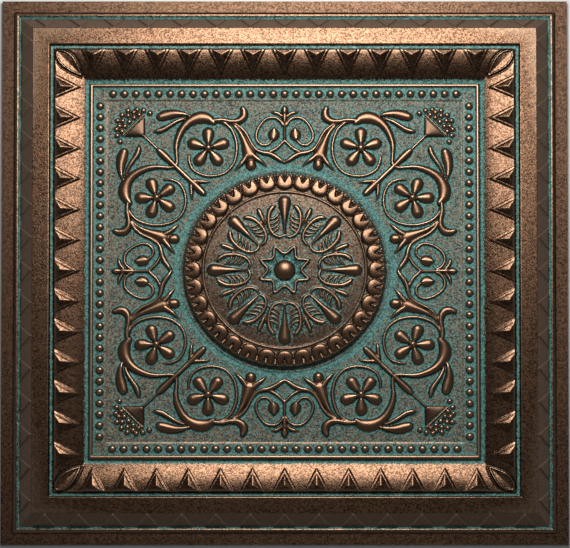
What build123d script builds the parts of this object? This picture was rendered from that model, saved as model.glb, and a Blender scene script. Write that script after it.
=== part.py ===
import math
import os

from build123d import *

# Sheet
tile_side = 500.0
flange_thickness = 4.0

# Frame section: widths, in order from the tile's edge inwards
flange_width = 10.8
cord_width = 5.0
slope_width = 11.0
band_width = 14.8
step_width = 1.5
channel_width = 2.9
ovolo_rise_width = 0.6
ovolo_width = 26.4
lip_width = 1.3
quirk_width = 4.4
fillet_width = 2.8
strip_width = 12.2

# Frame section: heights above the flat back
cord_crest = 5.4
band_level = 12.0
channel_level = 10.2
ovolo_crest = 11.8
ovolo_bulge = 0.5
lip_level = 6.8
quirk_level = 5.8
fillet_crest = 8.4
strip_level = 7.2
field_level = 6.4

# Zigzag wedges on the outer slope
wedge_count = 15
wedge_pitch = 30.2
wedge_half_width = 10.8
wedge_margin = 0.8
wedge_peak_at = 3.6
wedge_height = 1.8

# Darts on the ovolo
dart_count = 13
dart_pitch = 28.2
dart_half_width = 11.8
dart_length = 23.6
dart_peak_at = 4.6
dart_height = 2.4

# Leaf pair in each mitre of the ovolo
mitre_leaf_width = 8.0
mitre_leaf_length = 31.0
mitre_leaf_height = 2.1

# Bead row on the strip
bead_count = 31
bead_pitch = 10.13
bead_diameter = 6.4
bead_height = 2.3
bead_sides = 6
bead_draft = 32.0

# Medallion: radii, and heights above the back
medallion_radius = 89.2
rim_wall = 1.2
rim_edge = 0.8
egg_seat_level = 10.4
fillet_ring_radius = 72.0
fillet_ring_width = 3.2
fillet_ring_crest = 11.8
disc_level = 10.2
star_bed_radius = 25.0
star_bed_level = 9.6
dome_radius = 9.4
dome_crest = 14.0

# Eggs of the medallion's border
egg_count = 32
egg_width = 14.2
egg_length = 11.8
egg_notch_width = 4.8
egg_notch_depth = 4.0
egg_height = 2.0
egg_draft = 30.0

# Rosette on the medallion's disc
rosette_count = 8
star_notch_radius = 15.0
star_shoulder_radius = 18.2
star_tip_radius = 22.4
star_rim_width = 1.6
star_rim_height = 2.0
drop_root_radius = 32.0
drop_tip_radius = 68.4
drop_half_width = 5.6
drop_height = 3.4
drop_draft = 36.0
fern_width = 2.8
fern_height = 2.0
bud_root_radius = 49.0
bud_tip_radius = 61.0
bud_half_width = 2.2

# Field pattern, drawn for a field of this half-width and fitted to the real one
pattern_half = 156.3
pattern_height = 2.4
ridge_width = 2.4
stem_width = 3.2
draft = 20.0

# Flower in the roundel of each octant
roundel_at = (67.5, 113.0)
petal_count = 5
petal_root = 3.8
petal_tip = 19.4
petal_half_width = 5.6
flower_boss_radius = 3.3

# Relief starts this far under the surface it stands on, and arcs in it have facets of this angle
seat = 0.6
facet_angle = 42.0

tile_half = tile_side / 2
cord_end = flange_width + cord_width
slope_top = cord_end + slope_width
band_end = slope_top + band_width
channel_start = band_end + step_width
channel_end = channel_start + channel_width
ovolo_start = channel_end + ovolo_rise_width
ovolo_end = ovolo_start + ovolo_width
lip_end = ovolo_end + lip_width
quirk_end = lip_end + quirk_width
fillet_end = quirk_end + fillet_width
field_start = fillet_end + strip_width
field_half = tile_half - field_start
fit = field_half / pattern_half
rosette_sector = 360 / rosette_count
diagonal = Plane(origin=(0, 0, 0), z_dir=(1, -1, 0))


# Distance in from the tile's edge, as a coordinate
def inset(distance):
    return tile_half - distance


# Place on the field pattern
def spot(x, y):
    return (x * fit, y * fit)


# Points along a chain of arcs, few enough to give each arc flat facets
def chords(*arcs):
    points = [arcs[0] @ 0]
    for arc in arcs:
        turn = math.degrees(arc.length / arc.radius)
        count = max(2, round(turn / facet_angle))
        points += [arc @ (step / count) for step in range(1, count + 1)]
    return points


# Drafted solid on a closed outline, taken anticlockwise, that stands on a plane
def raised(points, plane, height, angle):
    with BuildPart() as relief:
        with BuildSketch(plane.offset(-seat)):
            with BuildLine():
                Polyline(*points, close=True)
            make_face()
        extrude(amount=height + seat, taper=angle)
    return relief.part


# Outline of a petal along +X, pointed at its root and round at its tip
def petal_outline(root, tip, half_width):
    shoulder = tip - half_width
    with BuildLine():
        end = ThreePointArc((shoulder, -half_width), (tip, 0), (shoulder, half_width))
    return [(root, 0), *chords(end)]


# Ridge with a drafted section, along an arc and the arcs that run on from it
def ridge(start, via, end, *further, width, level, height):
    with BuildLine():
        arcs = [ThreePointArc(start, via, end)]
        for point in further:
            arcs.append(TangentArc(arcs[-1] @ 1, point, tangent=arcs[-1] % 1))
    with BuildPart() as bar:
        with BuildLine() as route:
            Polyline(*chords(*arcs))
        path = route.wire()
        heading = path % 0
        with BuildSketch(Plane(path @ 0, x_dir=Vector(0, 0, 1).cross(heading), z_dir=heading)):
            with BuildLine():
                Polyline(
                    (-width / 2, level - seat),
                    (width / 2, level - seat),
                    (0, level + height),
                    close=True,
                )
            make_face()
        sweep(path=path, transition=Transition.RIGHT)
    return bar.part


# Leaf of the field pattern, two arcs through its points
def leaf(start, right, tip, left):
    with BuildLine():
        out = ThreePointArc(spot(*start), spot(*right), spot(*tip))
        back = ThreePointArc(spot(*tip), spot(*left), spot(*start))
    return raised(chords(out, back)[:-1], Plane.XY.offset(field_level), pattern_height, draft)


# Strand of the field pattern
def strand(*places, width=ridge_width):
    points = [spot(*place) for place in places]
    return ridge(*points, width=width, level=field_level, height=pattern_height)


# Mitred frame round the square, with the flat field inside it
with BuildPart() as sheet:
    with BuildLine() as route:
        Polyline(
            (tile_half, 0),
            (tile_half, tile_half),
            (-tile_half, tile_half),
            (-tile_half, -tile_half),
            (tile_half, -tile_half),
            close=True,
        )
    with BuildSketch(Plane.XZ):
        with BuildLine():
            Polyline(
                (inset(field_start), strip_level),
                (inset(field_start), 0),
                (inset(0), 0),
                (inset(0), flange_thickness),
                (inset(flange_width), flange_thickness),
            )
            ThreePointArc(
                (inset(flange_width), flange_thickness),
                (inset(flange_width + cord_width / 2), cord_crest),
                (inset(cord_end), flange_thickness),
            )
            Polyline(
                (inset(cord_end), flange_thickness),
                (inset(slope_top), band_level),
                (inset(band_end), band_level),
                (inset(channel_start), channel_level),
                (inset(channel_end), channel_level),
                (inset(ovolo_start), ovolo_crest),
            )
            ThreePointArc(
                (inset(ovolo_start), ovolo_crest),
                (inset(ovolo_start + ovolo_width / 2), (ovolo_crest + lip_level) / 2 + ovolo_bulge),
                (inset(ovolo_end), lip_level),
            )
            Polyline(
                (inset(ovolo_end), lip_level),
                (inset(lip_end), lip_level),
                (inset(lip_end), quirk_level),
                (inset(quirk_end), quirk_level),
            )
            ThreePointArc(
                (inset(quirk_end), quirk_level),
                (inset(quirk_end + fillet_width / 2), fillet_crest),
                (inset(fillet_end), strip_level),
            )
            Line((inset(fillet_end), strip_level), (inset(field_start), strip_level))
        make_face()
    sweep(path=route.wire(), transition=Transition.RIGHT)
    with BuildSketch():
        Rectangle(2 * field_half, 2 * field_half)
    extrude(amount=field_level)

# Zigzag wedge, a low pyramid lying on the outer slope of the +X side
slope_rise = band_level - flange_thickness
slope_length = math.hypot(slope_width, slope_rise)
slope_plane = Plane(
    origin=(inset(cord_end), 0, flange_thickness),
    x_dir=(-slope_width, 0, slope_rise),
    z_dir=(slope_rise, 0, slope_width),
)
with BuildPart() as wedge:
    with BuildSketch(slope_plane.offset(-seat), mode=Mode.PRIVATE) as wedge_base:
        with BuildLine():
            Polyline(
                (wedge_margin, -wedge_half_width),
                (slope_length - wedge_margin, 0),
                (wedge_margin, wedge_half_width),
                close=True,
            )
        make_face()
    wedge_peak = slope_plane.from_local_coords((wedge_peak_at, 0, wedge_height))
    loft([wedge_base.sketch.face(), Vertex(*wedge_peak)])

# Dart, a pyramid on the chord of the ovolo with its apex towards the middle of the tile
ovolo_fall = ovolo_crest - lip_level
ovolo_plane = Plane(
    origin=(inset(ovolo_start), 0, ovolo_crest),
    x_dir=(-ovolo_width, 0, -ovolo_fall),
    z_dir=(-ovolo_fall, 0, ovolo_width),
)
with BuildPart() as dart:
    with BuildSketch(ovolo_plane, mode=Mode.PRIVATE) as dart_base:
        with BuildLine():
            Polyline((0, -dart_half_width), (dart_length, 0), (0, dart_half_width), close=True)
        make_face()
    dart_peak = ovolo_plane.from_local_coords((dart_peak_at, 0, dart_height))
    loft([dart_base.sketch.face(), Vertex(*dart_peak)])

# Leaf pair lying in the mitre of the ovolo between the +X and +Y sides
mitre_plane = Plane(
    origin=(inset(ovolo_start), inset(ovolo_start), ovolo_crest),
    x_dir=(-ovolo_width, -ovolo_width, -ovolo_fall),
    z_dir=(-ovolo_fall, -ovolo_fall, 2 * ovolo_width),
)
mitre_outline = [
    (mitre_leaf_length, 0),
    (0.6 * mitre_leaf_length, 0.7 * mitre_leaf_width),
    (0.25 * mitre_leaf_length, mitre_leaf_width),
    (0.05 * mitre_leaf_length, 0.9 * mitre_leaf_width),
    (0, 0.5 * mitre_leaf_width),
    (0.08 * mitre_leaf_length, 0),
]
with BuildPart() as mitre_leaf:
    add(raised(mitre_outline, mitre_plane, mitre_leaf_height, draft))
    mirror(about=diagonal)

# Bead, a few-sided dome on the strip
with BuildPart() as bead:
    with BuildSketch(Plane.XY.offset(strip_level - seat)):
        with Locations((inset(fillet_end + strip_width / 2), 0)):
            RegularPolygon(bead_diameter / 2, bead_sides)
    extrude(amount=bead_height + seat, taper=bead_draft)


# Section of the dome at the middle of the medallion
def dome_section():
    with BuildLine():
        dome = TangentArc((0, dome_crest), (dome_radius, star_bed_level), tangent=(1, 0))
    return chords(dome)


# Medallion, turned about the tile's middle
with BuildPart() as medallion:
    with BuildSketch(Plane.XZ):
        with BuildLine():
            Polyline(
                *dome_section(),
                (star_bed_radius, star_bed_level),
                (star_bed_radius, disc_level),
                (fillet_ring_radius - fillet_ring_width / 2, disc_level),
                (fillet_ring_radius, fillet_ring_crest),
                (fillet_ring_radius + fillet_ring_width / 2, egg_seat_level),
                (medallion_radius - rim_wall, egg_seat_level),
                (medallion_radius, field_level),
                (medallion_radius, field_level - seat),
                (0, field_level - seat),
                close=True,
            )
        make_face()
    revolve(axis=Axis.Z)

# Egg of the medallion's border, a round tongue with a notch at the rim
egg_mouth = medallion_radius - rim_wall - rim_edge
egg_outline = [
    *petal_outline(egg_mouth, egg_mouth - egg_length, -egg_width / 2)[1:],
    (egg_mouth, -egg_width / 2),
    (egg_mouth, egg_width / 2),
]
with BuildPart() as egg:
    add(raised(egg_outline, Plane.XY.offset(egg_seat_level), egg_height, egg_draft))
    with BuildSketch(Plane.XY.offset(egg_seat_level)):
        with BuildLine():
            Polyline(
                (egg_mouth, -egg_notch_width / 2),
                (egg_mouth, egg_notch_width / 2),
                (egg_mouth - egg_notch_depth, 0),
                close=True,
            )
        make_face()
    extrude(amount=egg_height, mode=Mode.SUBTRACT)


# Star round the dome: lobes between notches
def star_outline(inwards):
    points = []
    for lobe in range(rosette_count):
        for share, radius in (
            (0, star_notch_radius),
            (0.25, star_shoulder_radius),
            (0.5, star_tip_radius),
            (0.75, star_shoulder_radius),
        ):
            points.append(Vector(radius - inwards, 0).rotate(Axis.Z, (lobe + share) * rosette_sector))
    return points


with BuildPart() as star:
    with BuildSketch(Plane.XY.offset(star_bed_level - seat)):
        with BuildLine():
            Polyline(*star_outline(0), close=True)
        make_face()
        with BuildLine():
            Polyline(*star_outline(star_rim_width), close=True)
        make_face(mode=Mode.SUBTRACT)
    extrude(amount=star_rim_height + seat)

# Rosette sector along +X: a drop, the ferns that curl round it and the bud beside them
disc_plane = Plane.XY.offset(disc_level)
drop = raised(
    petal_outline(drop_root_radius, drop_tip_radius, drop_half_width),
    disc_plane,
    drop_height,
    drop_draft,
)
fern = ridge(
    (31.5, 1),
    (32, 8),
    (37, 12.2),
    (48, 14.2),
    (58.5, 9.5),
    width=fern_width,
    level=disc_level,
    height=fern_height,
)
bud_middle = (bud_root_radius + bud_tip_radius) / 2
bud = raised(
    [(bud_root_radius, 0), (bud_middle, -bud_half_width), (bud_tip_radius, 0), (bud_middle, bud_half_width)],
    disc_plane,
    fern_height,
    draft,
)
with BuildPart() as rosette:
    with PolarLocations(0, rosette_count):
        add([drop, fern, mirror(fern, about=Plane.XZ, mode=Mode.PRIVATE)])
    with PolarLocations(0, rosette_count, rosette_sector / 2):
        add(bud)

# Flower of round petals in the roundel, with a boss at its middle
petal = raised(
    petal_outline(petal_root, petal_tip, petal_half_width),
    Plane.XY.offset(field_level),
    pattern_height,
    draft,
)
with BuildPart() as flower:
    with Locations(spot(*roundel_at)):
        with PolarLocations(0, petal_count, 90):
            add(petal)
    with BuildSketch(Plane.XY.offset(field_level - seat)):
        with Locations(spot(*roundel_at)):
            RegularPolygon(flower_boss_radius, bead_sides)
    extrude(amount=pattern_height + seat, taper=draft)


# Horn that closes the roundel's ring at its outer side
def horn_outline():
    with BuildLine():
        outer = ThreePointArc(spot(97.4, 113), spot(91.5, 134), spot(76, 147))
        nose = ThreePointArc(spot(76, 147), spot(66.5, 145), spot(62, 136))
        inner = ThreePointArc(spot(62, 136), spot(81, 132.8), spot(94.6, 113))
    return chords(outer, nose, inner)


horn = raised(horn_outline(), Plane.XY.offset(field_level), pattern_height, 0)


# Trumpet that widens from the scrolls to the bud in its mouth
def trumpet_outline():
    with BuildLine():
        outer = ThreePointArc(spot(44, 135.4), spot(33.4, 119.4), spot(24.8, 106))
        inner = ThreePointArc(spot(36, 104), spot(38, 118.6), spot(45.6, 133.8))
    return chords(outer) + chords(inner)


trumpet = raised(trumpet_outline(), Plane.XY.offset(field_level), pattern_height, 0)

# Scrolls of one octant, between the +Y axis and the diagonal
octant = [
    flower.part,
    horn,
    strand((60, 138), (41.5, 113), (67.5, 87), (85.5, 101), (80.5, 110.5)),
    strand((96, 115), (95.8, 104), (93, 93)),
    strand((64, 138), (52, 138.8), (44, 137.6), (36.4, 149), width=stem_width),
    strand((86, 140.5), (102, 133.3), (115.5, 128.8), width=stem_width),
    leaf((83, 143.8), (100, 140.6), (113.4, 141), (102, 148.4)),
    strand((0, 120), (6, 114), (14, 109)),
    strand((0, 100), (8, 105.3), (19, 109), (44, 135), width=stem_width),
    strand((1, 135), (9, 141.6), (20, 136.5), (23.5, 118.5), (11.5, 120)),
    leaf((9.8, 120.6), (14.6, 125.5), (9.3, 131.8), (4.6, 125.5)),
    trumpet,
    leaf((26, 105.6), (20.4, 102.5), (16.6, 97.4), (22.2, 100.5)),
    leaf((35.4, 104.6), (38.3, 98.6), (43.2, 94.2), (40.3, 100.2)),
    leaf((29.8, 91.6), (34.4, 97), (29.8, 103), (25.2, 97)),
    strand((84, 84), (76, 82.4), (66.5, 81.8)),
]

# Palmette's spear and stalk on the +Y axis, and the thistle on the diagonal
cup = raised(
    [spot(124, 124), spot(142, 124), spot(124, 142)],
    Plane.XY.offset(field_level),
    pattern_height,
    draft,
)
with BuildPart() as stalks:
    with BuildSketch(Plane.XY.offset(field_level - seat)):
        with BuildLine():
            Line(spot(0, 119), spot(0, 134))
        trace(line_width=ridge_width)
        with BuildLine():
            Line(spot(82, 82), spot(98, 98))
        trace(line_width=stem_width)
        with BuildLine():
            Line(spot(110, 110), spot(126, 126))
        trace(line_width=ridge_width)
        with BuildLine():
            Line(spot(126.6, 143.8), spot(143.8, 126.6))
        trace(line_width=ridge_width)
    extrude(amount=pattern_height + seat, dir=(0, 0, 1))
quarter = [
    mitre_leaf.part,
    stalks.part,
    cup,
    leaf((0, 130), (3.1, 141), (0, 152), (-3.1, 141)),
    leaf((70, 70), (79.8, 75.8), (85.5, 85.5), (75.8, 79.8)),
    leaf((96, 96), (105.8, 102.6), (112, 112), (102.6, 105.8)),
]
quarter += octant
quarter += [mirror(piece, about=diagonal) for piece in octant]

# One moulded tile
with BuildPart() as tile:
    add(sheet.part)
    add([medallion.part, star.part, rosette.part])
    with PolarLocations(0, egg_count):
        add(egg.part)
    with PolarLocations(0, 4):
        with GridLocations(0, wedge_pitch, 1, wedge_count):
            add(wedge.part)
        with GridLocations(0, dart_pitch, 1, dart_count):
            add(dart.part)
        with GridLocations(0, bead_pitch, 1, bead_count):
            add(bead.part)
        add(quarter)

tile.part.label = "ceiling_tile"
os.makedirs("parts", exist_ok=True)
export_step(tile.part, "parts/ceiling_tile.step")
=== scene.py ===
import math

import bmesh
import bpy
import numpy as np
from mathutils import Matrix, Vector


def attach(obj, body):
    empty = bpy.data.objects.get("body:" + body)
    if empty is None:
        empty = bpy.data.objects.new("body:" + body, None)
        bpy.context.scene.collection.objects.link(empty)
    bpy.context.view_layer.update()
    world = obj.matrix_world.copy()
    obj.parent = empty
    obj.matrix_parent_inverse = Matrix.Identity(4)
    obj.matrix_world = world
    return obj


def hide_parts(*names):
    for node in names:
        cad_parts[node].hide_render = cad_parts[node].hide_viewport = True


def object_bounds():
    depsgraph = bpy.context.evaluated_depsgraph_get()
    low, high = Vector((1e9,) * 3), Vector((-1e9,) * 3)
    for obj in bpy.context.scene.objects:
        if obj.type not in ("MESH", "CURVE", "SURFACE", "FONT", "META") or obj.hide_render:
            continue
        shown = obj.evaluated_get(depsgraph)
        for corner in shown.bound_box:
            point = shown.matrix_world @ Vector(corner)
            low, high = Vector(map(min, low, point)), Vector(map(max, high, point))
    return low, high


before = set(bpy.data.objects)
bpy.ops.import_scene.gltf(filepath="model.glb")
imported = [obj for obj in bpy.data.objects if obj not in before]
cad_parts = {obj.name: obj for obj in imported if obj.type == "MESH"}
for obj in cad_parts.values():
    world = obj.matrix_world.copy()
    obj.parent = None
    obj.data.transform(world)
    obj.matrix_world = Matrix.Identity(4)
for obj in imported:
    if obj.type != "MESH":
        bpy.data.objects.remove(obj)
cadLow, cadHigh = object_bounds()
mm = 0.001

# The relief is drawn on a grid over one quarter of the tile, in millimetres, and mirrored at the end
sheet = {
    "cell": 0.4,  # grid spacing
    "softening": 0.32,  # rounding that the moulding leaves on every edge
    "triangles": 196000,  # kept after thinning
    "maskWeight": 0.4,  # how much the patina's outline counts in the thinning
    "seam": 0.02,  # points this near an edge or a middle line are put on it
    "normalInset": 0.3,  # share of the way into a face at which its normals are read
}

half = round(cadHigh.x / mm, 3)
gridCount = round(half / sheet["cell"]) + 1
axis = np.linspace(0, half, gridCount)
gridX, gridY = np.meshgrid(axis, axis, indexing="ij")
along = np.minimum(gridX, gridY)  # along the nearest side, from its middle
inset = half - np.maximum(gridX, gridY)  # in from the nearest edge
radius = np.hypot(gridX, gridY)


def ramp(value, low, high):
    share = np.clip((value - low) / (high - low), 0, 1)
    return share * share * (3 - 2 * share)


def bar(place, start, width, height, power=0.5):  # half-round across its width, flatter at a lower power
    reach = (place - start) / width * 2 - 1
    return height * np.clip(1 - reach * reach, 0, None) ** power


def blurred(heights, spread):  # soft copy of the whole mirrored tile, given back as its quarter
    whole = np.concatenate([heights[:0:-1], heights])
    whole = np.concatenate([whole[:, :0:-1], whole], axis=1)
    pad = math.ceil(3 * spread / sheet["cell"])
    whole = np.pad(whole, pad, mode="edge")
    waves = np.fft.fftfreq(whole.shape[0], sheet["cell"])
    fall = np.exp(-2 * (math.pi * spread * waves) ** 2)
    soft = np.fft.ifft2(np.fft.fft2(whole) * fall[:, None] * fall[None, :]).real
    middle = pad + gridCount - 1
    return soft[middle:middle + gridCount, middle:middle + gridCount]


# Mouldings of the frame, from the edge inwards
moulding = {
    "flange": 4.0,
    "cord": (10.8, 4.8, 1.5),  # start, width, height
    "slopeFoot": 16.4,
    "slopeTop": 26.8,
    "band": 12.0,
    "bandEnd": 41.7,
    "channel": (42.9, 45.9, 10.2),  # start, end, level
    "ovolo": (46.6, 73.4),  # start, end
    "ovoloCrest": 11.8,
    "ovoloSlopes": (0.06, 0.29),  # fall per millimetre at its start and end
    "quirk": (74.9, 76.9),
    "quirkLevels": (6.5, 5.8),
    "fillet": (77.1, 4.1, 1.4, 0.45),  # with the power of its section
    "strip": (78.2, 92.2),
    "stripLevels": (7.6, 6.9),
    "fieldStart": 93.3,
    "field": 6.4,
}


def ovoloHeight(place):
    start, end = moulding["ovolo"]
    first, last = moulding["ovoloSlopes"]
    run = np.clip(place - start, 0, end - start)
    return moulding["ovoloCrest"] - first * run - (last - first) * run * run / (2 * (end - start))


def frameSection(place):
    m = moulding
    corners = [
        (0, m["flange"]),
        (m["cord"][0] + m["cord"][1], m["flange"]),
        (m["slopeFoot"], m["flange"]),
        (m["slopeTop"], m["band"]),
        (m["bandEnd"], m["band"]),
        (m["channel"][0], m["channel"][2]),
        (m["channel"][1], m["channel"][2]),
        (m["ovolo"][0], m["ovoloCrest"]),
        (m["ovolo"][1], float(ovoloHeight(m["ovolo"][1]))),
        *zip(m["quirk"], m["quirkLevels"]),
        *zip(m["strip"], m["stripLevels"]),
        (m["fieldStart"], m["field"]),
        (half, m["field"]),
    ]
    level = np.interp(place, [c[0] for c in corners], [c[1] for c in corners])
    onOvolo = (place > m["ovolo"][0]) & (place < m["ovolo"][1])
    level = np.where(onOvolo, ovoloHeight(place), level)
    return level + bar(place, *m["cord"])


def nearestCopy(pitch, number):  # distance from the nearest of a row of like shapes
    step = np.clip(np.round(along / pitch), -(number // 2), number // 2)
    return np.abs(along - step * pitch)


# Raised triangles on the outer slope
wedge = {"number": 15, "pitch": 30.2, "halfWidth": 11.2, "height": 2.3, "edge": 1.2}


def wedgeRelief():
    run = inset - moulding["slopeFoot"]
    length = moulding["slopeTop"] - moulding["slopeFoot"]
    side = wedge["halfWidth"] * (1 - run / length) - nearestCopy(wedge["pitch"], wedge["number"])
    side *= math.cos(math.atan2(wedge["halfWidth"], length))
    rise = ramp(side, 0, wedge["edge"]) * ramp(run, 0, wedge["edge"])
    return np.where(run < length, wedge["height"] * rise, 0)


# Darts on the ovolo: a stepped border with a pyramid inside it
dart = {
    "number": 13,
    "pitch": 28.2,
    "halfWidth": 11.2,
    "length": 23.0,
    "step": 0.3,  # at the outline
    "stepWidth": 0.7,
    "bevel": 0.6,  # rise of the border behind the step
    "margin": 2.3,  # from the outline to the pyramid
    "groove": (0.4, 0.5),  # depth and reach of the line round the pyramid
    "sideSlope": 0.27,
    "baseSlope": 0.28,
    "overrun": 1.0,  # how far past the tip it still counts
}


def dartRelief():
    run = inset - moulding["ovolo"][0]
    side = dart["halfWidth"] * (1 - run / dart["length"]) - nearestCopy(dart["pitch"], dart["number"])
    side *= math.cos(math.atan2(dart["halfWidth"], dart["length"]))
    depth, reach = dart["groove"]
    pyramid = np.minimum(dart["sideSlope"] * (side - dart["margin"]), dart["baseSlope"] * run)
    edge = dart["stepWidth"] / 2
    relief = dart["step"] * ramp(side, -edge, edge) + np.clip(pyramid, 0, None)
    relief += dart["bevel"] * np.clip(side / dart["margin"], 0, 1)
    relief -= depth * np.exp(-((side - dart["margin"]) / reach) ** 2)
    return np.where((run > 0) & (run < dart["length"] + dart["overrun"]), relief, 0)


# Row of round beads on the strip
bead = {"number": 31, "pitch": 10.13, "place": 86.8, "radius": 3.5, "height": 2.5}


def beadRelief():
    reach = np.hypot(nearestCopy(bead["pitch"], bead["number"]), inset - bead["place"]) / bead["radius"]
    return bead["height"] * np.sqrt(np.clip(1 - reach * reach, 0, None))


# A round tool drawn along a curve raises every scroll, leaf, petal and drop
tool = {
    "step": 0.25,
    "power": 0.62,  # 0.5 is half-round across, more is sharper
    "finest": 0.3,  # least half-width
    "thinRise": (1.15, 0.4),  # limits a thin line's height: per half-width, and added to it
}


def smoothPath(points, spacing):  # even points on a smooth curve through a few chosen ones
    points = np.array(points, float)
    ends = np.vstack([2 * points[:1] - points[1:2], points, 2 * points[-1:] - points[-2:-1]])
    pieces = []
    for before, start, finish, after in zip(ends, ends[1:], ends[2:], ends[3:]):
        count = max(2, math.ceil(np.hypot(*(finish - start)[:2]) / spacing))
        share = np.linspace(0, 1, count, endpoint=False)[:, None]
        pieces.append(0.5 * (
            2 * start + (finish - before) * share
            + (2 * before - 5 * start + 4 * finish - after) * share ** 2
            + (3 * start - before - 3 * finish + after) * share ** 3
        ))
    return np.vstack(pieces + [points[-1:]])


def stroke(relief, points, height):  # points are (x, y, half-width)
    perWidth, least = tool["thinRise"]
    for x, y, reach in smoothPath(points, tool["step"]):
        reach = max(reach, tool["finest"])
        low = np.maximum(np.floor((np.array((x, y)) - reach) / sheet["cell"]).astype(int), 0)
        high = np.maximum(np.ceil((np.array((x, y)) + reach) / sheet["cell"]).astype(int) + 1, 0)
        window = relief[low[0]:high[0], low[1]:high[1]]
        if window.size == 0:
            continue
        dx = axis[low[0]:high[0], None] - x
        dy = axis[None, low[1]:high[1]] - y
        bump = np.clip(1 - (dx * dx + dy * dy) / reach ** 2, 0, None) ** tool["power"]
        np.maximum(window, min(height, perWidth * reach + least) * bump, out=window)


def dot(relief, x, y, reach, height):  # a stroke of next to no length
    stroke(relief, [(x, y, reach), (x, y + 0.1, reach)], height)


def turned(points, degrees, flip=1):
    angle = math.radians(degrees)
    c, s = math.cos(angle), math.sin(angle)
    return [(c * x - s * flip * y, s * x + c * flip * y, reach) for x, y, reach in points]


# Scrolls of the field, drawn for the eighth between the upper middle line and the diagonal
scroll = {
    "height": 2.9,
    "lineHeight": 2.3,  # of the thin lines
    "swell": 0.3,  # added to every half-width
    "clear": 3,  # gap round the medallion
}
roundel = {"place": (67.5, 113.3), "petals": 5, "boss": 4.2, "bossHeight": 3.9}
petal = [(3.8, 0, 1.6), (8, 0, 3.8), (11.4, 0, 5.2), (14, 0, 5.5)]
lines = {
    "ring": [
        (84.4, 106.5, 0.8), (84.2, 100.5, 1.2), (80.5, 93, 1.2), (72, 88.4, 1.2), (62, 87.6, 1.2),
        (52, 91, 1.2), (45, 99.5, 1.2), (42.4, 110, 1.3), (43, 120, 1.3), (47, 130.5, 1.4),
        (54, 136.8, 1.6), (61, 138.6, 1.9),
    ],
    "upright": [(96.2, 96.6, 1.7), (95.2, 101, 1.6), (95.6, 108, 1.7), (96, 114, 1.9)],
    "horn": [
        (96, 112, 1.9), (95, 120, 2.7), (91.2, 129.5, 3.4), (86, 136.2, 4.1), (79.5, 140.3, 5),
        (73.2, 141.6, 5.5), (67.6, 140.4, 4.5), (63.8, 137.6, 2.6), (62, 135.9, 1.2),
    ],
    "tail": [
        (62, 138.8, 1.8), (55, 139.2, 2.1), (47.5, 137.8, 2.3), (41.2, 138.2, 3), (36.8, 141.4, 3.7),
        (35.8, 146, 3.2), (37, 150, 2),
    ],
    "bigLeaf": [
        (84, 143.2, 1), (91, 144.8, 2.5), (98, 145, 3.9), (105, 143.6, 4.7), (109.6, 142.2, 3.8),
    ],
    "thinLeaf": [
        (89, 140.6, 1), (96, 137.6, 1.7), (102, 133.8, 2.1), (107.5, 130.4, 2.5), (112, 129, 2.1),
        (115.4, 128.7, 0.8),
    ],
    "trumpet": [
        (46, 135.2, 1), (41, 130, 1.5), (37.3, 123.6, 2.4), (34.4, 116.3, 3.8), (32.2, 110.4, 5.3),
        (31.2, 107.4, 6),
    ],
    "bud": [(29.8, 99.6, 4), (29.8, 97.2, 4.5)],
    "calyxLeft": [(28, 106.6, 2.8), (24, 103.2, 2.2), (20, 100.4, 1.5), (16.4, 97.2, 0.5)],
    "calyxRight": [(33.6, 106, 2.8), (36.6, 101, 2.2), (40.2, 96.8, 1.5), (43.4, 93.6, 0.5)],
    "split": [(0, 120, 1.3), (3, 117.2, 1.3), (6, 114, 1.4), (10, 111.4, 1.4), (15, 109.2, 1.3)],
    "branch": [
        (0, 100.2, 1.2), (4, 102.4, 1.9), (9, 106, 2.4), (14, 108.2, 2.3), (19.5, 109.2, 1.8),
        (25, 111.8, 1.4), (29.6, 118, 1.3), (34, 126.6, 1.4), (39.4, 132.6, 1.4), (45.5, 136, 1.3),
    ],
    "volute": [
        (1.5, 134.5, 1.3), (4, 138.6, 1.3), (9, 141.4, 1.3), (15.6, 140.5, 1.3), (21, 135.4, 1.2),
        (24.8, 127.6, 1.2), (24.6, 121, 1.2), (20.4, 116.5, 1.2), (15, 116.6, 1.1), (11.4, 120, 1.1),
    ],
    "voluteBud": [(10.3, 121, 1.2), (9.6, 125.2, 4.9), (9.4, 127.8, 3.6), (9.2, 132, 0.6)],
    "spear": [(0, 119, 1.1), (0, 131, 1.2), (0, 135, 1.4), (0, 140, 2.2), (0, 143.2, 2.7)],
    "spearHead": [(0, 145.8, 1.5), (0, 148, 3), (0, 150, 2.2), (0, 152.3, 0.5)],
    "spearLeaf": [(0.8, 141.2, 1.3), (5, 144.8, 1.7), (8, 146, 1.5), (11.6, 146.6, 0.6)],
    "stem": [(97.5, 97.5, 2), (91, 91.4, 1.8), (84.5, 84.9, 1.7)],
    "innerBud": [(86, 86, 1.4), (81, 81, 2.9), (76.5, 76.5, 3.5), (72.6, 72.6, 2.9), (70.4, 70.4, 1)],
    "bract": [(83, 83.6, 1.6), (78, 82.8, 1.6), (72, 82.4, 1.5), (66.4, 81.8, 0.6)],
    "spindle": [(96.6, 96.6, 1.7), (101, 101, 2.8), (106, 106, 3.5), (109.6, 109.6, 3), (112, 112, 1.3)],
    "stalk": [(110.5, 110.5, 1), (125, 125, 1)],
    "cupRim": [(125, 143.4, 0.9), (143.4, 125, 0.9)],
}
thinLines = ("ring", "volute", "split", "stalk", "bract", "cupRim", "spearLeaf")
seed = {"radius": 2.6, "height": 2.2}
seeds = [
    (119.3, 145.6), (124.9, 148), (130.7, 148.8), (133.6, 146.2), (138.6, 147.8),
    (128.8, 144), (133.4, 141.4), (138.5, 143.2), (143.8, 143.8), (137.4, 137.6),
]
cup = {"corner": 123.2, "length": 14.0, "height": 2.0, "rise": 0.4, "lead": 1}


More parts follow.
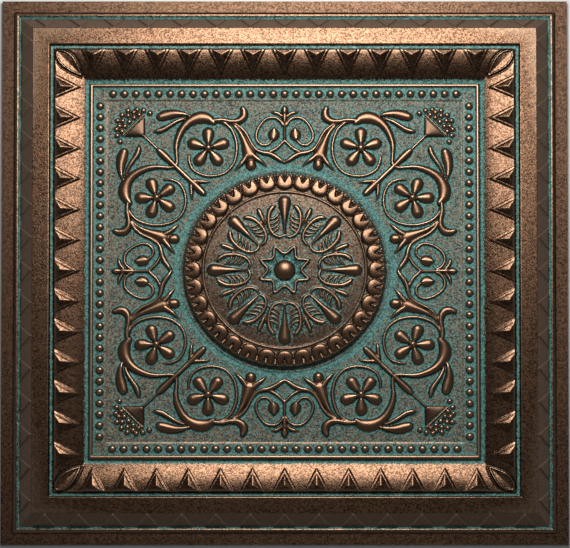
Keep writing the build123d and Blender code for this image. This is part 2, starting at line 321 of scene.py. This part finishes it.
def cupRelief():  # half of a cone, lying on the diagonal
    run = (gridX + gridY) / math.sqrt(2) - cup["corner"] * math.sqrt(2)
    side = np.abs(gridX - gridY) / math.sqrt(2) / np.maximum(run, 0.1)
    crest = np.minimum(cup["height"], cup["rise"] * (run + cup["lead"]))
    relief = crest * np.sqrt(np.clip(1 - side * side, 0, None))
    return np.where((run > 0) & (run < cup["length"]), relief, 0)


def scrollRelief():
    relief = np.zeros_like(gridX)
    for name, points in lines.items():
        points = [(x, y, reach + scroll["swell"]) for x, y, reach in points]
        stroke(relief, points, scroll["lineHeight"] if name in thinLines else scroll["height"])
    x, y = roundel["place"]
    for number in range(roundel["petals"]):
        points = turned(petal, 90 + 360 * number / roundel["petals"])
        stroke(relief, [(x + px, y + py, reach) for px, py, reach in points], scroll["height"])
    dot(relief, x, y, roundel["boss"], roundel["bossHeight"])
    for x, y in seeds:
        dot(relief, x, y, seed["radius"], seed["height"])
    relief = np.maximum(relief, cupRelief())
    return np.maximum(relief, relief.T)


# Leaf over each mitre of the ovolo, with a thin raised rim
mitreLeaf = {
    "start": 48.4,  # inset of its round end on the diagonal
    "end": 71.5,
    "widest": 0.38,  # share of its length
    "halfWidth": 7.0,
    "taper": 1.5,  # fuller towards the point if larger
    "height": 0.8,
    "edge": 0.8,
    "rim": (1.1, 0.9, 0.7),  # place, reach, height
    "groove": (0.9, 0.8, 0.7),
}


def mitreRelief():
    m = mitreLeaf
    share = (half - (gridX + gridY) / 2 - m["start"]) / (m["end"] - m["start"])
    blunt = np.sqrt(np.clip(1 - (1 - share / m["widest"]) ** 2, 0, None))
    taper = 1 - np.clip((share - m["widest"]) / (1 - m["widest"]), 0, 1) ** m["taper"]
    width = m["halfWidth"] * np.where(share < m["widest"], blunt, taper)
    side = width - np.abs(gridX - gridY) / math.sqrt(2)
    place, reach, rise = m["rim"]
    relief = m["height"] * ramp(side, 0, m["edge"])
    relief += rise * np.clip(1 - ((side - place) / reach) ** 2, 0, None)
    place, reach, depth = m["groove"]
    relief -= depth * np.exp(-((side + place) / reach) ** 2)
    return np.where((share > 0) & (share < 1), relief, 0)


# Medallion, turned about the middle of the tile
medallion = {
    "radius": 89.6,
    "wall": 1.4,  # width of its sloping side
    "skirt": 3.6,  # how far its section counts beyond the radius
    "rim": 10.4,
    "ring": (70.9, 2.2, 0.8),  # start, width, height
    "lip": (87.9, 1.9, 0.7),
    "disc": (11.0, 10.2),  # level at its middle and at the ring
    "starBed": (1.3, 0.5),  # depth of the dish inside the star, and where it starts to rise
    "dome": (9.5, 14.0),  # radius, top
    "halo": (91.2, 1.8, 0.8),  # thin line round it
}


def medallionSection():
    m = medallion
    corners = [
        (0, m["disc"][0]), (m["ring"][0], m["disc"][1]),
        (m["radius"] - m["wall"], m["rim"]), (m["radius"], moulding["field"]),
    ]
    level = np.interp(radius, [c[0] for c in corners], [c[1] for c in corners])
    depth, start = m["starBed"]
    level -= depth * (1 - ramp(radius / starEdge(), start, 1))
    for name in ("ring", "lip", "halo"):
        level += bar(radius, *m[name])
    reach = np.clip(1 - (radius / m["dome"][0]) ** 2, 0, None)
    return level + (m["dome"][1] - m["disc"][0] + depth) * np.sqrt(reach)


# Eggs of the medallion's border, under a row of teeth at the rim
egg = {
    "number": 32,
    "place": 81.0,
    "halfLength": 7.0,
    "halfWidth": 7.8,
    "height": 1.7,
    "fall": 0.12,  # per millimetre outwards
    "power": 0.28,
    "overlap": (0.6, 0.2),  # on to the ring and the lip
}
tooth = {
    "number": 64,
    "tip": 80.8,
    "root": 89.0,
    "halfWidth": 4.0,
    "height": 1.9,
    "groove": (0.4, 0.6),  # depth and reach of the line along its sides
    "fade": 0.2,  # share of its length over which that line starts
}


def nearestRay(number):  # distance from the nearest of a ring of rays
    turn = np.arctan2(gridY, gridX) / (2 * math.pi) * number
    return np.abs(turn - np.round(turn)) * 2 * math.pi * radius / number


def eggRelief():
    reach = (nearestRay(egg["number"]) / egg["halfWidth"]) ** 2
    reach += (np.minimum(radius - egg["place"], 0) / egg["halfLength"]) ** 2
    crest = egg["height"] - egg["fall"] * (radius - egg["place"])
    body = crest * np.clip(1 - reach, 0, None) ** egg["power"]
    share = np.clip((radius - tooth["tip"]) / (tooth["root"] - tooth["tip"]), 0, 1)
    side = tooth["halfWidth"] * share - nearestRay(tooth["number"])
    teeth = tooth["height"] * share * np.clip(side / (tooth["halfWidth"] * share + 0.01), 0, 1)
    depth, reach = tooth["groove"]
    groove = depth * np.exp(-(side / reach) ** 2) * ramp(share, 0, tooth["fade"])
    relief = np.maximum(np.where(side > 0, 0, body), teeth) - groove
    onRing, onLip = egg["overlap"]
    relief *= ramp(medallion["lip"][0] + onLip - radius, 0, 1)
    return np.where(radius > medallion["ring"][0] + medallion["ring"][1] - onRing, relief, 0)


# Rosette on the medallion's disc, drawn for the arm along +X
rosette = {"arms": 8, "height": 2.8, "fernHeight": 1.9, "sprigShare": 0.7, "reach": 70}
arm = {
    "drop": [(32.4, 0, 0.7), (44, 0, 1.9), (52, 0, 3.4), (58, 0, 4.9), (63, 0, 5.6)],
    "fern": [
        (31.8, 0.4, 0.9), (30.4, 4.4, 1.3), (32.2, 9, 1.4), (36.4, 12.2, 1.5), (42, 13.8, 1.6),
        (48, 14.2, 1.9), (53, 13.4, 2.3), (57, 11.2, 2.2), (59.2, 8.6, 0.9),
    ],
}
rib = {
    "roots": (34.4, 38.4, 42.4, 46.6),
    "line": [(0, 13, 1), (0.8, 9.6, 1.1), (3.4, 6.4, 1), (6.4, 5, 0.5)],
}
sprig = [(34.6, 12.6, 0.5), (40.6, 14.6, 1), (46.4, 16.6, 0.9)]
sprigBud = [(45.6, 0, 0.6), (51, 0, 1.7), (56.4, 0, 2.4), (61, 0, 0.8)]
star = {"width": 1.5, "height": 2.2}
starReach = ((0, 15.2), (0.15, 15.6), (0.35, 19.2), (0.5, 22.6), (0.65, 19.2), (0.85, 15.6), (1, 15.2))


def starEdge():  # reach of the star's outline towards each point
    turn = np.arctan2(gridY, gridX) / (2 * math.pi) * rosette["arms"]
    return np.interp(turn - np.floor(turn), *zip(*starReach))


def rosetteRelief():
    relief = np.zeros_like(gridX)
    sector = 360 / rosette["arms"]
    sprigHeight = rosette["fernHeight"] * rosette["sprigShare"]
    for number in range(rosette["arms"]):
        for flip in (1, -1):
            stroke(relief, turned(arm["drop"], number * sector, flip), rosette["height"])
            stroke(relief, turned(arm["fern"], number * sector, flip), rosette["fernHeight"])
            stroke(relief, turned(sprig, number * sector, flip), sprigHeight)
            for root in rib["roots"]:
                points = [(root + x, y, reach) for x, y, reach in rib["line"]]
                stroke(relief, turned(points, number * sector, flip), rosette["fernHeight"])
        stroke(relief, turned(sprigBud, (number + 0.5) * sector), rosette["fernHeight"])
        lobe = []
        for share, reach in starReach:
            angle = math.radians((number + share) * sector)
            lobe.append((reach * math.cos(angle), reach * math.sin(angle), star["width"]))
        stroke(relief, lobe, star["height"])
    return relief


print("drawing the relief")
field = frameSection(inset)
inMedallion = radius < medallion["radius"] + medallion["skirt"]
base = np.where(inMedallion, np.maximum(field, medallionSection()), field)
figures = scrollRelief() * (radius > medallion["radius"] + scroll["clear"])
figures = np.maximum(figures, rosetteRelief() * (radius < rosette["reach"])) + beadRelief()
figures += bar(inset, *moulding["fillet"])
eggs = eggRelief()
base += figures + eggs + wedgeRelief() + dartRelief() + mitreRelief()
height = np.clip(blurred(base, sheet["softening"]), 0, cadHigh.z / mm)
height[:, -1] = height[:, -2]
height[-1, :] = height[-2, :]

# Patina lies on the open ground and in the hollows, and the raised shapes are rubbed bare; painted shade
# darkens the creases and steep sides, and copper wear and painted highlights lie on the crests
ageingAndPaintedLight = {
    "ground": 0.25,  # patina on the field
    "disc": 0.09,
    "fieldEdge": 0.5,
    "discEdge": 0.6,
    "halo": (0.65, 2.1),  # patina round the figures: share, reach
    "discHalo": (0.5, 1.5),
    "haloRamp": (0.06, 0.42),
    "grooves": [(15.5, 1.1, 0.9), (44.2, 1.1, 0.95), (75.6, 1.8, 1.1)],  # place, reach, share
    "foot": (95.4, 3.0, 0.75),  # round the medallion
    "star": (0.6, 0.6),  # share, and where in the star it starts to fade
    "drift": 0.32,  # more patina towards +X, per metre
    "rubbed": (0.1, 0.45),  # height over which a figure turns bare
    "eggRubbed": (0.2, 0.7),
    "eggs": (0.9, 0.5, 0.8),  # patina lost, bareness, and copper wear and painted highlight lost on the eggs
    "dome": (0.4, 0.8),  # overlap and edge
    "cup": (0.8, 0.15, 0.6),  # reach of its shade, and the range it fades over
    "stepLine": 0.9,  # bare line where the strip meets the field
    "creaseReach": 1.1,
    "crease": (0.12, 0.6),  # depth of a crease, or height of a crest
    "steep": (0.8, 1.7),
    # painted shade: share of the shadow colour laid over the flange, the ovolo, the cup and the disc
    # inside the ring
    "flangeShade": 0.4,
    "flangeMatt": 0.5,
    "ovoloShade": 0.25,
    "ovoloMatt": -0.16,
    "cupShade": 0.8,
    "discShade": 0.6,
    "discTarnish": 0.08,
    "dust": 0.8,  # on the outer slope
    "dustEdge": (0.4, 0.2),
}

stripStart, stripEnd = moulding["strip"]
raised = ramp(figures, *ageingAndPaintedLight["rubbed"])
onField = ramp(inset, stripStart - ageingAndPaintedLight["fieldEdge"], stripStart + ageingAndPaintedLight["fieldEdge"])
onDisc = radius < medallion["radius"] - ageingAndPaintedLight["discEdge"]
onEggs = ramp(eggs, *ageingAndPaintedLight["eggRubbed"])
onDome = ramp(medallion["dome"][0] + ageingAndPaintedLight["dome"][0] - radius, 0, ageingAndPaintedLight["dome"][1])
onFillet = bar(inset, *moulding["fillet"][:2], 1, 0.1)  # nearly square across
onCup = ramp(blurred(cupRelief(), ageingAndPaintedLight["cup"][0]), *ageingAndPaintedLight["cup"][1:])
onFlange = inset < moulding["cord"][0]
offSlope = (inset < moulding["slopeFoot"]) | (inset > moulding["slopeTop"])
onOvolo = (inset > moulding["ovolo"][0]) & (inset < moulding["ovolo"][1])
eggPatinaLost, eggBare, eggCopperAndHighlightLost = ageingAndPaintedLight["eggs"]


def patinaMask():
    mask = np.where(onDisc, ageingAndPaintedLight["disc"], ageingAndPaintedLight["ground"]) * onField
    for name, part in (("halo", ~onDisc), ("discHalo", onDisc)):
        share, reach = ageingAndPaintedLight[name]
        mask = mask + share * ramp(blurred(raised, reach), *ageingAndPaintedLight["haloRamp"]) * onField * part
    for place, reach, share in ageingAndPaintedLight["grooves"]:
        mask = mask + share * np.exp(-((inset - place) / reach) ** 2)
    place, reach, share = ageingAndPaintedLight["foot"]
    mask = mask + share * np.exp(-((radius - place) / reach) ** 2)
    share, fade = ageingAndPaintedLight["star"]
    mask = mask + share * (1 - ramp(radius / starEdge(), fade, 1))
    worn = raised + eggPatinaLost * onEggs + onDome
    return np.clip(mask * np.clip(1 - worn, 0, 1), 0, 1)


def bareMask():
    mask = np.maximum(np.maximum(raised, onDome), eggBare * onEggs)
    stepPlace = (stripEnd + moulding["fieldStart"]) / 2
    return np.maximum(mask, np.exp(-((inset - stepPlace) / ageingAndPaintedLight["stepLine"]) ** 2))


def paintedShadeMask():  # painted shade: darker in creases and on steep sides, and over the flange, ovolo, cup and inner disc, parts that were never rubbed
    creases = ramp(-rise, *ageingAndPaintedLight["crease"])
    paintedShade = np.maximum(creases, ramp(steepness, *ageingAndPaintedLight["steep"])) * (1 - onFillet) * offSlope
    for share, part in (
        (ageingAndPaintedLight["flangeShade"], onFlange),
        (ageingAndPaintedLight["ovoloShade"], onOvolo),
        (ageingAndPaintedLight["cupShade"], onCup),
        (ageingAndPaintedLight["discShade"], (radius < medallion["ring"][0]) * (1 - bare)),
    ):
        paintedShade = np.maximum(paintedShade, share * part)
    return paintedShade


def dustMask():
    before, after = ageingAndPaintedLight["dustEdge"]
    foot, top = moulding["slopeFoot"], moulding["slopeTop"]
    share = ageingAndPaintedLight["dust"]
    return np.interp(inset, (foot - before, foot, top - after, top + after), (0, share, share, 0))


rise = height - blurred(height, ageingAndPaintedLight["creaseReach"])
steepness = np.hypot(*np.gradient(height, sheet["cell"]))
bare = bareMask()
crests = ramp(rise, *ageingAndPaintedLight["crease"])
masks = {
    "patina": patinaMask(),
    "paintedShade": paintedShadeMask(),
    "matt": ageingAndPaintedLight["flangeMatt"] * onFlange + ageingAndPaintedLight["ovoloMatt"] * onOvolo,
    "crest": crests * (1 - eggCopperAndHighlightLost * onEggs) * (1 - onCup) * offSlope,
    "dust": dustMask(),
    "figure": bare,
    "tarnish": onField * (1 - bare) * np.where(onDisc, ageingAndPaintedLight["discTarnish"] * (1 - onEggs), 1),
}
print("relief", gridCount, "squared, top at", round(float(height.max()), 2))


def sampled(values, x, y):
    place = np.clip(np.abs(np.stack([x, y])) / sheet["cell"], 0, gridCount - 1.001)
    cellNumber = place.astype(int)
    (i, j), (u, v) = cellNumber, place - cellNumber
    lower = values[i, j] * (1 - u) + values[i + 1, j] * u
    upper = values[i, j + 1] * (1 - u) + values[i + 1, j + 1] * u
    return lower * (1 - v) + upper * v


def thinnedQuarter():  # fewer triangles where the relief is plain
    number = np.arange(gridCount * gridCount).reshape(gridCount, gridCount)
    quads = np.stack([number[:-1, :-1], number[1:, :-1], number[1:, 1:], number[:-1, 1:]], -1)
    quads = quads.reshape(-1, 4)
    points = np.stack([gridX, gridY, height + sheet["maskWeight"] * masks["patina"]], -1).reshape(-1, 3)
    dense = bpy.data.meshes.new("denseQuarter")
    dense.from_pydata(points, [], quads)
    holder = bpy.data.objects.new("denseQuarter", dense)
    bpy.context.scene.collection.objects.link(holder)
    thin = holder.modifiers.new("thin", "DECIMATE")
    thin.ratio = sheet["triangles"] / 4 / (2 * len(quads))
    result = bpy.data.meshes.new_from_object(holder.evaluated_get(bpy.context.evaluated_depsgraph_get()))
    corners = np.empty(len(result.vertices) * 3)
    result.vertices.foreach_get("co", corners)
    result.calc_loop_triangles()
    faces = np.empty(len(result.loop_triangles) * 3, int)
    result.loop_triangles.foreach_get("vertices", faces)
    bpy.data.objects.remove(holder)
    for mesh in (dense, result):
        bpy.data.meshes.remove(mesh)
    return corners.reshape(-1, 3)[:, :2], faces.reshape(-1, 3)


def mirrored(points, faces, column):
    seam = points[:, column] < sheet["seam"]
    points[seam, column] = 0
    partner = np.where(seam, np.arange(len(points)), len(points) + np.cumsum(~seam) - 1)
    copies = points[~seam] * np.where(np.arange(2) == column, -1, 1)
    return np.vstack([points, copies]), np.vstack([faces, partner[faces][:, ::-1]])


def tileMesh():
    points, faces = thinnedQuarter()
    points = np.clip(points, 0, half)
    points[points > half - sheet["seam"]] = half
    for column in (0, 1):
        points, faces = mirrored(points, faces, column)
    levels = sampled(height, points[:, 0], points[:, 1])
    mesh = bpy.data.meshes.new("moulded_tile")
    mesh.from_pydata(np.column_stack([points, levels]) * mm, [], faces)
    solid = bmesh.new()
    solid.from_mesh(mesh)
    rim = [edge for edge in solid.edges if edge.is_boundary]
    walls = bmesh.ops.extrude_edge_only(solid, edges=rim)["geom"]
    for vert in walls:
        if isinstance(vert, bmesh.types.BMVert):
            vert.co.z = 0
    foot = [edge for edge in walls if isinstance(edge, bmesh.types.BMEdge)]
    bmesh.ops.contextual_create(solid, geom=foot)  # the flat back
    bmesh.ops.recalc_face_normals(solid, faces=solid.faces)
    for face in solid.faces:
        face.smooth = True
        face.material_index = 0 if face.normal.z > 0.02 else 1  # paint above, bare foam elsewhere
    solid.to_mesh(mesh)
    solid.free()
    return mesh


def addMasks(mesh):
    points = np.empty(len(mesh.vertices) * 3)
    mesh.vertices.foreach_get("co", points)
    x, y = points.reshape(-1, 3)[:, :2].T / mm
    for name, values in masks.items():
        layer = mesh.attributes.new(name, "FLOAT", "POINT")
        layer.data.foreach_set("value", sampled(values, x, y).astype(np.float32))


def addNormals(mesh):  # taken from the relief a little inside each face, so that edges stay crisp
    count = len(mesh.polygons)
    sides, material = np.empty(count, int), np.empty(count, int)
    mesh.polygons.foreach_get("loop_total", sides)
    mesh.polygons.foreach_get("material_index", material)
    middle, facing = np.empty(count * 3), np.empty(count * 3)
    mesh.polygons.foreach_get("center", middle)
    mesh.polygons.foreach_get("normal", facing)
    corner = np.empty(len(mesh.loops), int)
    mesh.loops.foreach_get("vertex_index", corner)
    points = np.empty(len(mesh.vertices) * 3)
    mesh.vertices.foreach_get("co", points)
    place = points.reshape(-1, 3)[corner]
    place += sheet["normalInset"] * (np.repeat(middle.reshape(-1, 3), sides, axis=0) - place)
    x, y = place[:, :2].T / mm
    slopeX, slopeY = np.gradient(height, sheet["cell"])
    normals = np.column_stack([
        -np.sign(x) * sampled(slopeX, x, y), -np.sign(y) * sampled(slopeY, x, y), np.ones(len(x))
    ])
    normals /= np.linalg.norm(normals, axis=1)[:, None]
    flat = np.repeat(material, sides)[:, None] == 1
    normals = np.where(flat, np.repeat(facing.reshape(-1, 3), sides, axis=0), normals)
    mesh.normals_split_custom_set(normals.tolist())


# Flat map of the face, with the walls and the back in its margin
bakeMap = {
    "share": 0.94,
    "start": 0.002,
    "back": (0.95, 0.024),  # start and half-size
    "wall": (0.955, 0.02),  # start and spacing
    "wallScale": 500,
}


def addBakeMap(mesh):
    share, start = bakeMap["share"], bakeMap["start"]
    backStart, backHalf = bakeMap["back"]
    wallStart, wallGap = bakeMap["wall"]
    layer = mesh.uv_layers.new(name="OFBake")
    for face in mesh.polygons:
        for loop in range(face.loop_start, face.loop_start + face.loop_total):
            x, y, z = mesh.vertices[mesh.loops[loop].vertex_index].co / mm
            up = z / bakeMap["wallScale"]
            if face.material_index == 0:
                place = ((x / half + 1) / 2 * share + start, (y / half + 1) / 2 * share + start)
            elif face.normal.z < -0.5:
                place = (backStart + (x / half + 1) * backHalf, backStart + (y / half + 1) * backHalf)
            elif abs(face.normal.x) > 0.5:
                place = (wallStart + wallGap * (face.normal.x > 0) + up, (y / half + 1) / 2 * share)
            else:
                place = ((x / half + 1) / 2 * share, wallStart + wallGap * (face.normal.y > 0) + up)
            layer.data[loop].uv = place


mesh = tileMesh()
addMasks(mesh)
addNormals(mesh)
addBakeMap(mesh)
tile = bpy.data.objects.new("moulded_tile", mesh)
bpy.context.scene.collection.objects.link(tile)
print("tile has", len(mesh.polygons), "faces")


# Shader node helpers
def newNode(tree, kind, **settings):
    node = tree.nodes.new(kind)
    for name, value in settings.items():
        if name in node.inputs:
            node.inputs[name].default_value = value
        else:
            setattr(node, name, value)
    return node


def mathNode(tree, operation, first, second, third=None):
    node = newNode(tree, "ShaderNodeMath", operation=operation)
    for socket, value in zip(node.inputs, (first, second, third)):
        if isinstance(value, bpy.types.NodeSocket):
            tree.links.new(value, socket)
        elif value is not None:
            socket.default_value = value
    return node.outputs[0]


def rampNode(tree, value, low, high):
    node = newNode(tree, "ShaderNodeMapRange", interpolation_type="SMOOTHSTEP")
    tree.links.new(value, node.inputs["Value"])
    node.inputs["From Min"].default_value = low
    node.inputs["From Max"].default_value = high
    return node.outputs["Result"]


def mixColours(tree, factor, first, second):
    node = newNode(tree, "ShaderNodeMix", data_type="RGBA")
    sockets = (node.inputs["Factor"], node.inputs[6], node.inputs[7])
    for socket, value in zip(sockets, (factor, first, second)):
        if isinstance(value, bpy.types.NodeSocket):
            tree.links.new(value, socket)
        else:
            socket.default_value = (*value, 1)
    return node.outputs[2]


# Sandy grain, shared by the paint and the bare foam
sand = {"scale": 1200.0, "coarse": 0.5}


def grainGroup():
    tree = bpy.data.node_groups.new("sandyGrain", "ShaderNodeTree")
    scale = tree.interface.new_socket("Scale", in_out="INPUT", socket_type="NodeSocketFloat")
    scale.default_value = sand["scale"]
    start = tree.nodes.new("NodeGroupInput")
    finish = tree.nodes.new("NodeGroupOutput")
    place = tree.nodes.new("ShaderNodeTexCoord")
    layers = ((1.0, {"Fine": "Red", "Tint": "Green"}), (sand["coarse"], {"Coarse": "Red"}))
    for share, outputs in layers:
        cells = newNode(tree, "ShaderNodeTexVoronoi")
        tree.links.new(place.outputs["Object"], cells.inputs["Vector"])
        tree.links.new(mathNode(tree, "MULTIPLY", start.outputs[0], share), cells.inputs["Scale"])
        parts = newNode(tree, "ShaderNodeSeparateColor")
        tree.links.new(cells.outputs["Color"], parts.inputs["Color"])
        for name, channel in outputs.items():
            tree.interface.new_socket(name, in_out="OUTPUT", socket_type="NodeSocketFloat")
            tree.links.new(parts.outputs[channel], finish.inputs[name])
    return tree


grain = grainGroup()

# Bronze paint with blue-green patina, painted shade in the creases, and copper wear and painted
# highlights on the crests
paint = {
    "bronzeDark": (0.036, 0.019, 0.011),
    "bronze": (0.17, 0.092, 0.053),
    "rubbed": (0.19, 0.105, 0.062),
    # copper wear and painted highlight, laid on the crests
    "copperAndHighlight": (0.48, 0.32, 0.21),
    "dust": (0.20, 0.135, 0.096),
    "tarnishDark": (0.012, 0.011, 0.008),
    "tarnish": (0.30, 0.225, 0.145),
    "patinaDark": (0.022, 0.095, 0.085),
    "patina": (0.16, 0.38, 0.335),
    "shadow": (0.012, 0.010, 0.009),
}
wearAndPaintedLight = {
    "coarse": 0.25,  # share of the coarse grain
    "grit": (0.15, 0.85),  # range of grain that is stretched to full contrast
    "breakUp": 0.8,  # how far the grain breaks up the patina
    "aged": (-0.2, 0.3),
    "agedFrom": (0.02, 0.2),  # less patina than this leaves no speck
    "dust": 0.8,
    "rubbed": 0.8,
    "copperAndHighlight": 0.6,
    # strength of the painted shade
    "paintedShade": 0.75,
    "dustDull": 0.75,
    "metalLost": 0.95,  # where the paint is dull
    "roughness": 0.25,  # of clean bronze
    "rubbedRough": 0.04,
    "mattRough": 0.25,
    "dullRough": 0.3,
    "specular": 0.25,
    "bump": 0.1,
    "bumpDepth": 0.0003,
}


def startMaterial(name):
    material = bpy.data.materials.new(name)
    material.use_nodes = True
    return material, material.node_tree, material.node_tree.nodes["Principled BSDF"]


def paintMaterial():
    material, tree, shader = startMaterial("patinatedBronze")
    speck = newNode(tree, "ShaderNodeGroup", node_tree=grain)
    mask = {}
    for name in masks:
        mask[name] = newNode(tree, "ShaderNodeAttribute", attribute_name=name).outputs["Fac"]

    def laid(colour, over, name, share):  # one coat over another, by a mask
        return mixColours(tree, mathNode(tree, "MULTIPLY", mask[name], share), over, paint[colour])

    fine = mathNode(tree, "MULTIPLY", speck.outputs["Fine"], 1 - wearAndPaintedLight["coarse"])
    grit = mathNode(tree, "MULTIPLY_ADD", speck.outputs["Coarse"], wearAndPaintedLight["coarse"], fine)
    grit = rampNode(tree, grit, *wearAndPaintedLight["grit"])
    place = tree.nodes.new("ShaderNodeTexCoord")
    across = newNode(tree, "ShaderNodeSeparateXYZ")
    tree.links.new(place.outputs["Object"], across.inputs[0])
    gathered = mathNode(tree, "MULTIPLY_ADD", speck.outputs["Tint"], -wearAndPaintedLight["breakUp"], mask["patina"])
    gathered = mathNode(tree, "MULTIPLY_ADD", across.outputs["X"], ageingAndPaintedLight["drift"], gathered)
    aged = rampNode(tree, gathered, *wearAndPaintedLight["aged"])
    aged = mathNode(tree, "MULTIPLY", aged, rampNode(tree, mask["patina"], *wearAndPaintedLight["agedFrom"]))
    bronze = mixColours(tree, grit, paint["bronzeDark"], paint["bronze"])
    bronze = laid("dust", bronze, "dust", wearAndPaintedLight["dust"])
    bronze = laid("rubbed", bronze, "figure", wearAndPaintedLight["rubbed"])
    # crests: copper wear and painted highlight
    bronze = laid("copperAndHighlight", bronze, "crest", wearAndPaintedLight["copperAndHighlight"])
    brown = mixColours(tree, grit, paint["tarnishDark"], paint["tarnish"])
    green = mixColours(tree, grit, paint["patinaDark"], paint["patina"])
    colour = mixColours(tree, mask["tarnish"], bronze, brown)
    # painted shade: creases, steep sides and unrubbed parts darkened towards the shadow colour
    colour = laid("shadow", colour, "paintedShade", wearAndPaintedLight["paintedShade"])
    tree.links.new(mixColours(tree, aged, colour, green), shader.inputs["Base Color"])
    dull = mathNode(tree, "MAXIMUM", aged, mathNode(tree, "MULTIPLY", mask["dust"], wearAndPaintedLight["dustDull"]))
    dull = mathNode(tree, "MAXIMUM", dull, mask["tarnish"])
    metal = mathNode(tree, "MULTIPLY_ADD", dull, -wearAndPaintedLight["metalLost"], 1.0)
    tree.links.new(metal, shader.inputs["Metallic"])
    rough = mathNode(tree, "MULTIPLY_ADD", mask["figure"], wearAndPaintedLight["rubbedRough"], wearAndPaintedLight["roughness"])
    rough = mathNode(tree, "MULTIPLY_ADD", mask["matt"], wearAndPaintedLight["mattRough"], rough)
    rough = mathNode(tree, "MULTIPLY_ADD", dull, wearAndPaintedLight["dullRough"], rough)
    tree.links.new(rough, shader.inputs["Roughness"])
    shader.inputs["Specular IOR Level"].default_value = wearAndPaintedLight["specular"]
    bump = newNode(tree, "ShaderNodeBump", Strength=wearAndPaintedLight["bump"], Distance=wearAndPaintedLight["bumpDepth"])
    tree.links.new(grit, bump.inputs["Height"])
    tree.links.new(bump.outputs["Normal"], shader.inputs["Normal"])
    return material


# Bare foam of the cut edge and the back
rawFoam = {
    "pale": (0.36, 0.35, 0.33),
    "dark": (0.24, 0.235, 0.225),
    "beadScale": 380.0,
    "beadEdge": (0.2, 0.75),
    "grain": 0.3,  # share of the sandy grain in its shade
    "roughness": 0.85,
    "bump": 0.5,
    "bumpDepth": 0.0004,
}


def foamMaterial():
    material, tree, shader = startMaterial("bareFoam")
    speck = newNode(tree, "ShaderNodeGroup", node_tree=grain)
    cells = newNode(tree, "ShaderNodeTexVoronoi", Scale=rawFoam["beadScale"])
    place = tree.nodes.new("ShaderNodeTexCoord")
    tree.links.new(place.outputs["Object"], cells.inputs["Vector"])
    edge = rampNode(tree, cells.outputs["Distance"], *rawFoam["beadEdge"])
    shade = mathNode(tree, "MULTIPLY", edge, 1 - rawFoam["grain"])
    shade = mathNode(tree, "MULTIPLY_ADD", speck.outputs["Coarse"], rawFoam["grain"], shade)
    colour = mixColours(tree, shade, rawFoam["pale"], rawFoam["dark"])
    tree.links.new(colour, shader.inputs["Base Color"])
    shader.inputs["Roughness"].default_value = rawFoam["roughness"]
    bump = newNode(
        tree, "ShaderNodeBump", Strength=rawFoam["bump"], Distance=rawFoam["bumpDepth"], invert=True
    )
    tree.links.new(edge, bump.inputs["Height"])
    tree.links.new(bump.outputs["Normal"], shader.inputs["Normal"])
    return material


mesh.materials.append(paintMaterial())
mesh.materials.append(foamMaterial())
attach(tile, "root")
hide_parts("ceiling_tile")
print("painted the tile")

# Floor, lamp and camera
studio = {
    "floorSize": 8.0,
    "floorColour": (0.78, 0.77, 0.75),
    "floorRoughness": 0.8,
    "lampPlace": (0.035, 0.42, 0.60),
    "lampAim": (0.0, 0.0, 0.0),
    "lampSize": 0.34,
    "lampPower": 4.4,
    "sky": (0.9, 0.96, 1.0),
    "skyStrength": 0.18,
}
photo = {
    "size": (570, 548),
    "middle": (284.6, 271.2),  # pixel of the tile's middle
    "pixelsPerMetre": 1132.6,
    "elevation": 73.8,
    "lens": 1200.0,
    "level": 0.007,  # height of the point that the middle pixel shows
}


def makeFloor():
    floorMesh = bpy.data.meshes.new("floor")
    reach = studio["floorSize"] / 2
    corners = [(-reach, -reach, 0), (reach, -reach, 0), (reach, reach, 0), (-reach, reach, 0)]
    floorMesh.from_pydata(corners, [], [(0, 1, 2, 3)])
    floor = bpy.data.objects.new("floor", floorMesh)
    floor.location.z = cadLow.z
    material, _, shader = startMaterial("paleFloor")
    shader.inputs["Base Color"].default_value = (*studio["floorColour"], 1)
    shader.inputs["Roughness"].default_value = studio["floorRoughness"]
    floorMesh.materials.append(material)
    bpy.context.scene.collection.objects.link(floor)


def makeLight():
    lamp = bpy.data.lights.new("softPanel", "AREA")
    lamp.size = studio["lampSize"]
    lamp.energy = studio["lampPower"]
    holder = bpy.data.objects.new("softPanel", lamp)
    holder.location = studio["lampPlace"]
    aim = Vector(studio["lampAim"]) - Vector(studio["lampPlace"])
    holder.rotation_euler = aim.to_track_quat("-Z", "Y").to_euler()
    bpy.context.scene.collection.objects.link(holder)
    world = bpy.data.worlds.new("paleRoom")
    world.use_nodes = True
    back = world.node_tree.nodes["Background"]
    back.inputs["Color"].default_value = (*studio["sky"], 1)
    back.inputs["Strength"].default_value = studio["skyStrength"]
    bpy.context.scene.world = world


def makeCamera():
    lens = bpy.data.cameras.new("camera")
    lens.lens = photo["lens"]
    lens.clip_end = 100
    camera = bpy.data.objects.new("camera", lens)
    tilt = math.radians(photo["elevation"])
    back = Vector((0, -math.cos(tilt), math.sin(tilt)))
    up = Vector((0, math.sin(tilt), math.cos(tilt)))
    offset = [(s / 2 - m) / photo["pixelsPerMetre"] for s, m in zip(photo["size"], photo["middle"])]
    aim = Vector((0, 0, photo["level"])) + Vector((offset[0], 0, 0)) - up * offset[1]
    distance = photo["size"][0] / photo["pixelsPerMetre"] * photo["lens"] / lens.sensor_width
    camera.location = aim + back * distance
    camera.rotation_mode = "QUATERNION"
    camera.rotation_quaternion = (-back).to_track_quat("-Z", "Y")
    bpy.context.scene.collection.objects.link(camera)
    bpy.context.scene.camera = camera


makeFloor()
makeLight()
makeCamera()
bpy.context.scene.view_settings.view_transform = "Standard"
print("lit the studio")
